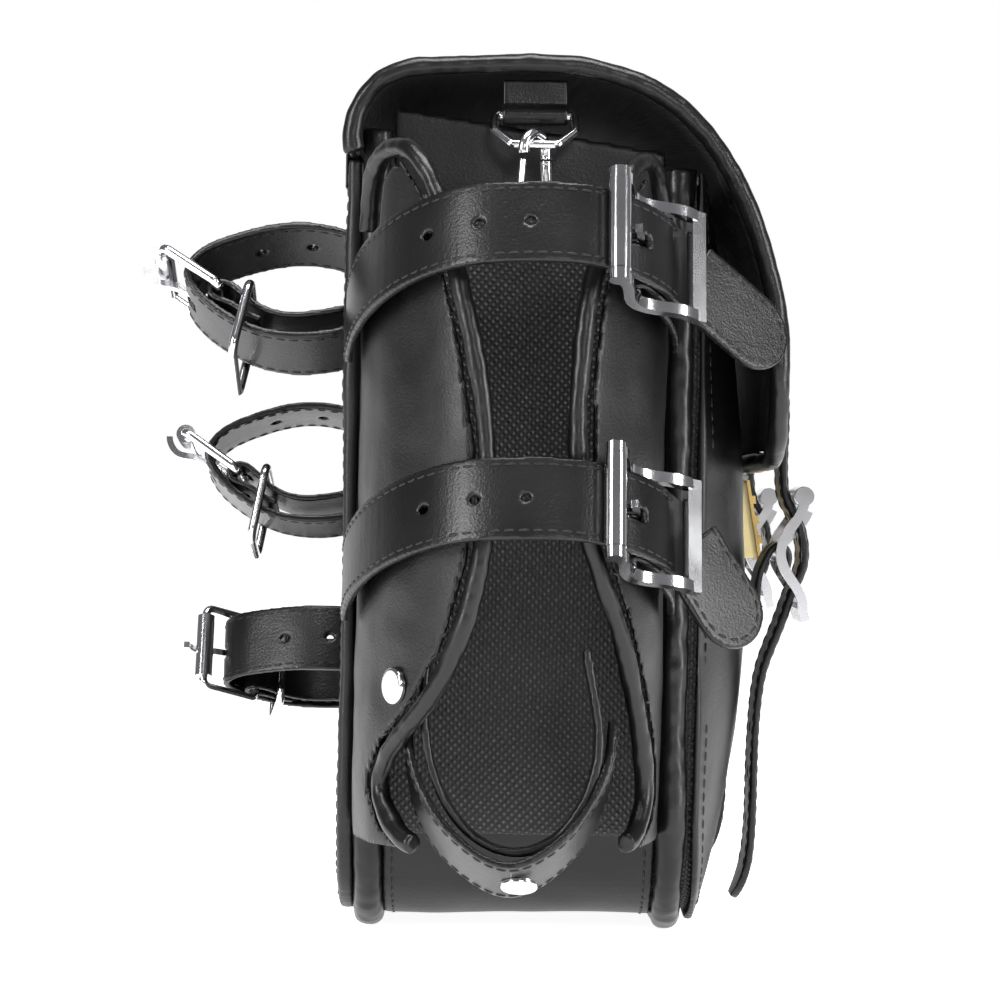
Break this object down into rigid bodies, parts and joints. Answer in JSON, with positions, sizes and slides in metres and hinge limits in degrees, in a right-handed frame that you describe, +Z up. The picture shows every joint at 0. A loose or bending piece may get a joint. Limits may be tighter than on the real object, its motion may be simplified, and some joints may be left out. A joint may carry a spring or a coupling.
{
  "type": "saddlebag",
  "caption": "Box-shaped leather pannier with a hinged lid, buckled straps, rear mounting loops and a strapped bottle holder on one end.",
  "frame": {"origin": "at floor level under the middle of the bag, in the plane of the two end walls' centre", "axes": "+X from the mounting side to the outer front, +Y along the bag away from the bottle holder, +Z up"},
  "size_m": [0.237, 0.4028, 0.297],
  "materials": {
    "body_leather": "satin, fine grain",
    "piping": "satin, wrinkled round the corners",
    "strap_leather": "satin, stitched edges",
    "lining": "coarse woven nylon",
    "board": "matte stiffener board",
    "chrome": "polished",
    "badge_gold": "satin gilt",
    "badge_base": "pale gilt"
  },
  "bodies": {
    "bag": {"gusset": "body_leather", "front_panel": "body_leather", "back_panel": "body_leather", "back_board": "board", "lining": "lining", "piping_back": "piping", "piping_front": "piping", "holder_panel": "body_leather", "holder_lining": "lining", "holder_piping": "piping", "holder_back": "lining", "holder_sling_outer": "strap_leather", "holder_sling_inner": "strap_leather", "holder_rivets": "chrome", "holder_strap_upper": "strap_leather", "holder_strap_lower": "strap_leather", "holder_chape_upper": "strap_leather", "holder_chape_lower": "strap_leather", "buckle_frame_upper": "chrome", "buckle_frame_lower": "chrome", "badge_base": "badge_base", "badge_plate": "badge_gold", "keeper_rings": "chrome", "mount_strap_a": "strap_leather", "mount_strap_b": "strap_leather", "mount_strap_c": "strap_leather", "mount_chape_a": "strap_leather", "mount_chape_b": "strap_leather", "mount_chape_c": "strap_leather", "wire_buckle_a": "chrome", "wire_buckle_b": "chrome", "wire_buckle_c": "chrome"},
    "lid": {"lid_panel": "body_leather", "lid_lining": "lining", "lid_piping": "piping", "lid_strap_near": "strap_leather", "lid_strap_far": "strap_leather", "lid_chape_near": "strap_leather", "lid_chape_far": "strap_leather", "buckle_frame_lid_near": "chrome", "buckle_frame_lid_far": "chrome", "d_ring_tab": "strap_leather"},
    "d_ring": {"d_ring": "chrome"},
    "snap_hook": {"snap_hook": "chrome"},
    "snap_hook_gate": {"snap_hook_gate": "chrome"},
    "roller_upper": {"buckle_roller_upper": "chrome"},
    "prong_upper": {"buckle_prong_upper": "chrome"},
    "roller_lower": {"buckle_roller_lower": "chrome"},
    "prong_lower": {"buckle_prong_lower": "chrome"},
    "roller_lid_near": {"buckle_roller_lid_near": "chrome"},
    "prong_lid_near": {"buckle_prong_lid_near": "chrome"},
    "roller_lid_far": {"buckle_roller_lid_far": "chrome"},
    "prong_lid_far": {"buckle_prong_lid_far": "chrome"},
    "wire_roller_a": {"wire_roller_a": "chrome"},
    "wire_prong_a": {"wire_prong_a": "chrome"},
    "wire_roller_b": {"wire_roller_b": "chrome"},
    "wire_prong_b": {"wire_prong_b": "chrome"},
    "wire_roller_c": {"wire_roller_c": "chrome"},
    "wire_prong_c": {"wire_prong_c": "chrome"}
  },
  "joints": [
    {"name": "lid_hinge", "type": "hinge", "parent": "bag", "child": "lid", "pos_m": [-0.0613, 0, 0.2623], "axis": [0, -1, 0], "range_deg": [0, 110]},
    {"name": "roller_upper_spin", "type": "hinge", "parent": "bag", "child": "roller_upper", "pos_m": [0.02793, -0.23264, 0.23451], "axis": [0, 0.342, 0.9397], "continuous": true},
    {"name": "prong_upper_lift", "type": "hinge", "parent": "bag", "child": "prong_upper", "pos_m": [0.034, -0.21322, 0.22744], "axis": [0, 0.342, 0.9397], "range_deg": [0, 9]},
    {"name": "roller_lower_spin", "type": "hinge", "parent": "bag", "child": "roller_lower", "pos_m": [0.02793, -0.23264, 0.14831], "axis": [0, 0.342, 0.9397], "continuous": true},
    {"name": "prong_lower_lift", "type": "hinge", "parent": "bag", "child": "prong_lower", "pos_m": [0.034, -0.21322, 0.14124], "axis": [0, 0.342, 0.9397], "range_deg": [0, 9]},
    {"name": "roller_lid_near_spin", "type": "hinge", "parent": "lid", "child": "roller_lid_near", "pos_m": [0.0985, -0.08, 0.151], "axis": [0, 1, 0], "continuous": true},
    {"name": "prong_lid_near_lift", "type": "hinge", "parent": "lid", "child": "prong_lid_near", "pos_m": [0.0905, -0.08, 0.131], "axis": [0, 1, 0], "range_deg": [0, 6]},
    {"name": "roller_lid_far_spin", "type": "hinge", "parent": "lid", "child": "roller_lid_far", "pos_m": [0.0985, 0.08, 0.151], "axis": [0, 1, 0], "continuous": true},
    {"name": "prong_lid_far_lift", "type": "hinge", "parent": "lid", "child": "prong_lid_far", "pos_m": [0.0905, 0.08, 0.131], "axis": [0, 1, 0], "range_deg": [0, 6]},
    {"name": "wire_roller_a_spin", "type": "hinge", "parent": "bag", "child": "wire_roller_a", "pos_m": [-0.1259, -0.10046, 0.22591], "axis": [0, 0.891, -0.454], "continuous": true},
    {"name": "wire_prong_a_lift", "type": "hinge", "parent": "bag", "child": "wire_prong_a", "pos_m": [-0.1059, -0.10695, 0.21317], "axis": [0, -0.891, 0.454], "range_deg": [0, 8]},
    {"name": "wire_roller_b_spin", "type": "hinge", "parent": "bag", "child": "wire_roller_b", "pos_m": [-0.1259, -0.00258, 0.1677], "axis": [0, 0.9703, -0.2419], "continuous": true},
    {"name": "wire_prong_b_lift", "type": "hinge", "parent": "bag", "child": "wire_prong_b", "pos_m": [-0.1059, -0.00604, 0.15383], "axis": [0, -0.9703, 0.2419], "range_deg": [0, 8]},
    {"name": "wire_roller_c_spin", "type": "hinge", "parent": "bag", "child": "wire_roller_c", "pos_m": [-0.1259, 0.08586, 0.08707], "axis": [0, 0.4067, 0.9135], "continuous": true},
    {"name": "wire_prong_c_lift", "type": "hinge", "parent": "bag", "child": "wire_prong_c", "pos_m": [-0.1059, 0.09893, 0.08125], "axis": [0, -0.4067, -0.9135], "range_deg": [0, 8]},
    {"name": "d_ring_swing", "type": "hinge", "parent": "lid", "child": "d_ring", "pos_m": [0.0015, -0.15, 0.277], "axis": [1, 0, 0], "range_deg": [-20, 4]},
    {"name": "hook_swing", "type": "hinge", "parent": "d_ring", "child": "snap_hook", "pos_m": [0.0015, -0.16302, 0.26607], "axis": [1, 0, 0], "range_deg": [-15, 3]},
    {"name": "gate_open", "type": "hinge", "parent": "snap_hook", "child": "snap_hook_gate", "pos_m": [-0.0039, -0.16946, 0.23767], "axis": [-0.766, 0.6428, 0], "range_deg": [0, 18], "stiffness_Nm_per_rad": 0.02, "springref_deg": -5.73}
  ]
}
